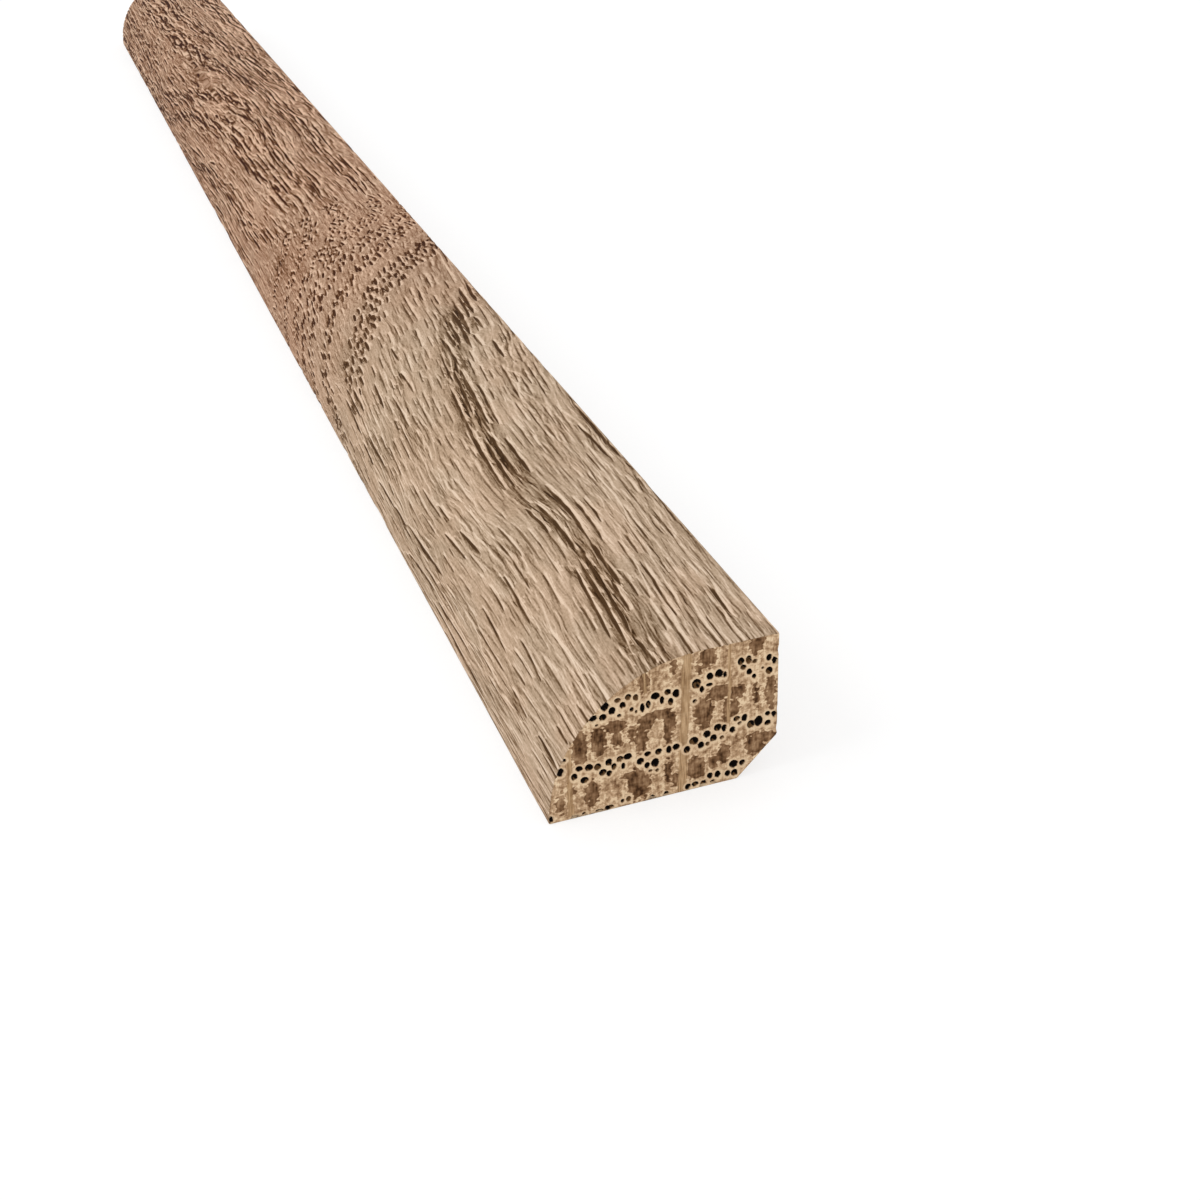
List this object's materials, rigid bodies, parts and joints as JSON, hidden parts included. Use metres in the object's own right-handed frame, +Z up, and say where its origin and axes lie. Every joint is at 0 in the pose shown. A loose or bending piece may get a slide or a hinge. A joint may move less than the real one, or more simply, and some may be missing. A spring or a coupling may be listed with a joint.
{
  "type": "shoe moulding",
  "caption": "Straight length of oak shoe moulding, with a quarter-round nose, a narrow flat top, an upright back and a chamfered heel, to cover the joint between floor and skirting.",
  "frame": {"origin": "on the floor, at the middle of the strip's bounding box, under its wide face", "axes": "+X along the strip towards the end nearest the viewer in the picture, +Y from the toe of the nose to the upright back, +Z up from the wide face to the flat top"},
  "size_m": [0.3048, 0.019, 0.0127],
  "materials": {
    "brushed_oak": "matt, wire-brushed and stained"
  },
  "bodies": {
    "root": {"shoe_moulding": "brushed_oak"}
  },
  "joints": []
}
